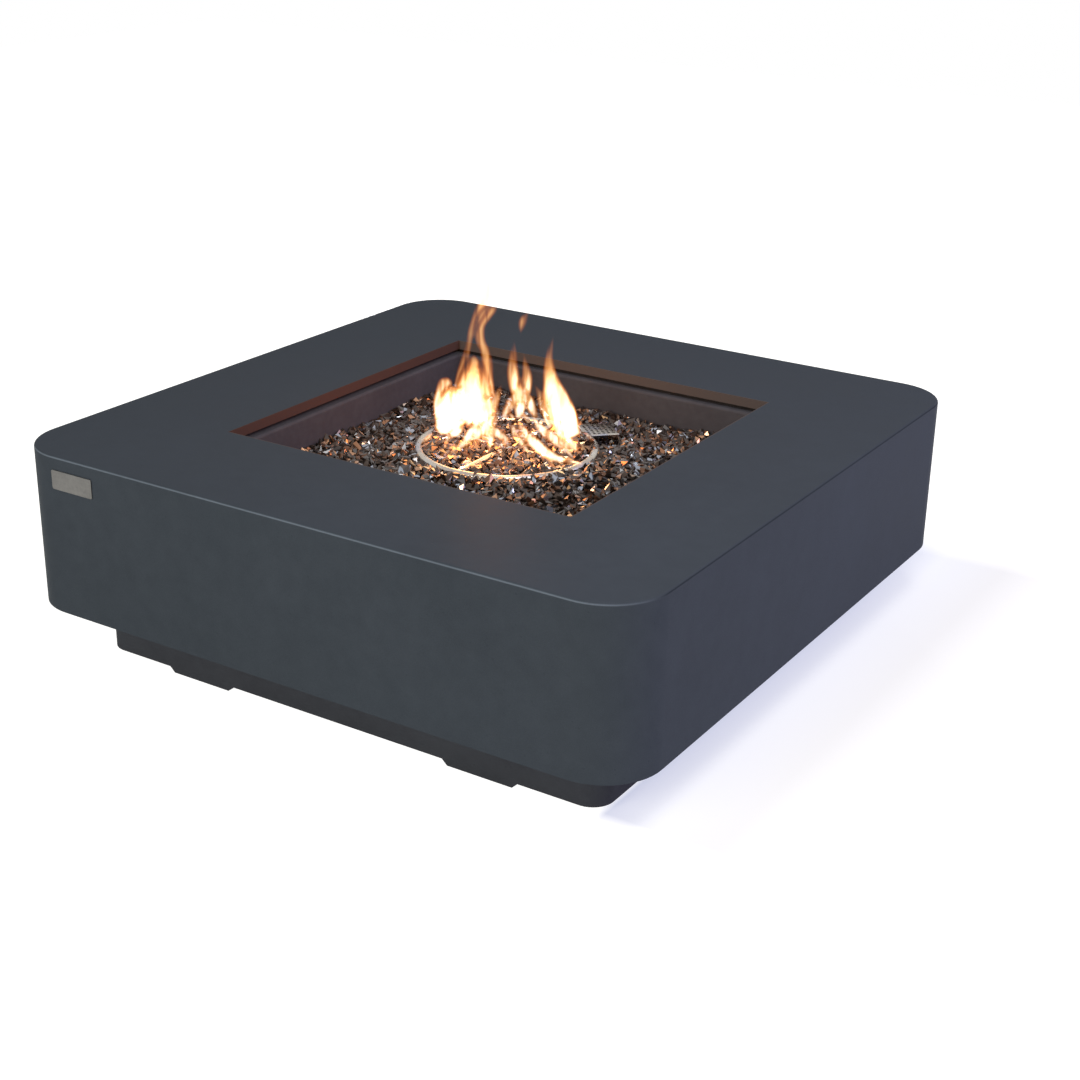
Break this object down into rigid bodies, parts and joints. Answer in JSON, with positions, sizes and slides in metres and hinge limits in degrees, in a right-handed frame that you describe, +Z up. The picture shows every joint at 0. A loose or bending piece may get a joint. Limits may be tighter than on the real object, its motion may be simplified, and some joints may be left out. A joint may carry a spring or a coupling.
{
  "type": "fire pit table",
  "caption": "Low square gas fire pit table: rounded concrete body on a recessed plinth, sunken steel pan with a ring burner in fire glass, and push-and-turn controls at the back.",
  "frame": {"origin": "on the floor, under the middle of the table", "axes": "+Z up; -Y towards the front with the badge, +Y towards the controls; +X to the right"},
  "size_m": [1.07, 1.074, 0.35],
  "materials": {
    "concrete": "smooth cast concrete, dark slate grey, matt",
    "plinth_concrete": "cast concrete, darker grey, matt",
    "zinc_steel": "bright zinc-plated steel",
    "black_steel": "black oxide on steel",
    "pan_steel": "heat-resistant dark grey coating on sheet steel",
    "gasket_fibre": "ceramic fibre strip",
    "fire_glass": "tempered bronze and black reflective chips",
    "burner_stainless": "stainless steel with heat tint",
    "hood_stainless": "perforated stainless sheet with heat tint",
    "pipe_steel": "plain steel pipe",
    "valve_brass": "machined brass",
    "shutter_steel": "thin plated sheet",
    "tube_copper": "soft copper tube",
    "valve_steel": "turned steel",
    "knob_plastic": "moulded black phenolic",
    "pointer_white": "white inlay",
    "niche_stainless": "brushed stainless sheet",
    "igniter_plastic": "black moulded plastic",
    "button_plastic": "black glossy plastic",
    "battery_sleeve": "printed steel can, left plain",
    "lead_rubber": "black silicone insulation",
    "electrode_ceramic": "white alumina",
    "badge_metal": "brushed, bare"
  },
  "bodies": {
    "table": {"concrete_shell": "concrete", "base_plinth": "plinth_concrete", "base_washers": "zinc_steel", "pan_studs": "zinc_steel", "pan_washers": "zinc_steel", "pan_nuts": "zinc_steel", "niche_screws": "zinc_steel", "hood_screws": "zinc_steel", "electrode_nut": "zinc_steel", "base_bolts": "black_steel", "burner_pan": "pan_steel", "pan_gasket": "gasket_fibre", "glass_bed": "fire_glass", "burner_ring": "burner_stainless", "igniter_hood": "hood_stainless", "inlet_nipple": "pipe_steel", "burner_locknuts": "valve_brass", "air_mixer": "valve_brass", "gas_orifice": "valve_brass", "elbow_fitting": "valve_brass", "tube_nuts": "valve_brass", "gas_valve": "valve_brass", "panel_nut": "valve_brass", "gas_inlet": "valve_brass", "thermocouple_nuts": "valve_brass", "gas_tube": "tube_copper", "thermocouple": "tube_copper", "thermocouple_lead": "tube_copper", "plunger_spring": "valve_steel", "button_spring": "valve_steel", "electrode_rod": "valve_steel", "control_niche": "niche_stainless", "igniter_module": "igniter_plastic", "igniter_nut": "igniter_plastic", "igniter_battery": "battery_sleeve", "ignition_lead": "lead_rubber", "electrode_ceramic": "electrode_ceramic", "badge_plate": "badge_metal"},
    "plunger": {"safety_plunger": "valve_steel"},
    "knob": {"valve_stem": "valve_steel", "control_knob": "knob_plastic", "knob_pointer": "pointer_white"},
    "plug": {"valve_plug": "valve_brass"},
    "button": {"igniter_button": "button_plastic"},
    "shutter": {"air_shutter": "shutter_steel"}
  },
  "joints": [
    {"name": "knob_push", "type": "slide", "parent": "table", "child": "plunger", "axis": [0, -1, 0], "range_m": [0, 0.003], "stiffness_N_per_m": 1500, "deforming": ["plunger_spring"]},
    {"name": "knob_turn", "type": "hinge", "parent": "plunger", "child": "knob", "pos_m": [0, 0.51, 0.1779], "axis": [0, 1, 0], "range_deg": [0, 180]},
    {"name": "plug_turn", "type": "hinge", "parent": "table", "child": "plug", "pos_m": [0, 0.474, 0.1779], "axis": [0, 1, 0], "range_deg": [0, 180]},
    {"name": "igniter_press", "type": "slide", "parent": "table", "child": "button", "axis": [0, -1, 0], "range_m": [0, 0.004], "stiffness_N_per_m": 1200, "deforming": ["button_spring"]},
    {"name": "shutter_turn", "type": "hinge", "parent": "table", "child": "shutter", "pos_m": [0, 0, 0.205], "axis": [0, 0, 1], "range_deg": [0, 75]}
  ],
  "couplings": [
    {"joint": "plug_turn", "follows": "knob_turn", "ratio": 1}
  ]
}
